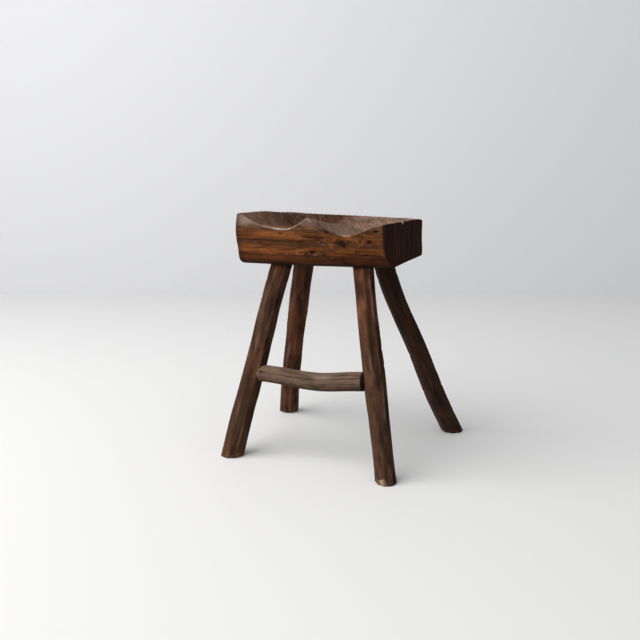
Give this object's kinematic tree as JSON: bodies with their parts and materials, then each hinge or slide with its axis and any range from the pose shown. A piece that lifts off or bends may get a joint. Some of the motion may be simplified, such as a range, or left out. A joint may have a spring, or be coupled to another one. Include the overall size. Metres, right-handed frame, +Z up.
{
  "type": "saddle stool",
  "caption": "Rustic hand-hewn saddle stool: a thick carved seat block with two thigh hollows and a pommel, on splayed branch legs with a bent front stretcher.",
  "frame": {"origin": "on the floor, at the centre of the rectangle that the feet reach", "axes": "-Y to the front, where the stretcher is, +X to the right as seen from the front, +Z up"},
  "size_m": [0.4265, 0.3788, 0.4699],
  "materials": {
    "seat_wood": "weathered, hand rubbed, dark stained figure with bare worn edges",
    "leg_wood": "dark hewn surface with a dull handling sheen",
    "stretcher_wood": "dry grey-brown branch, rubbed on top by feet"
  },
  "bodies": {
    "root": {"seat": "seat_wood", "leg_front_left": "leg_wood", "leg_front_right": "leg_wood", "leg_back_left": "leg_wood", "leg_back_right": "leg_wood", "stretcher": "stretcher_wood"}
  },
  "joints": []
}
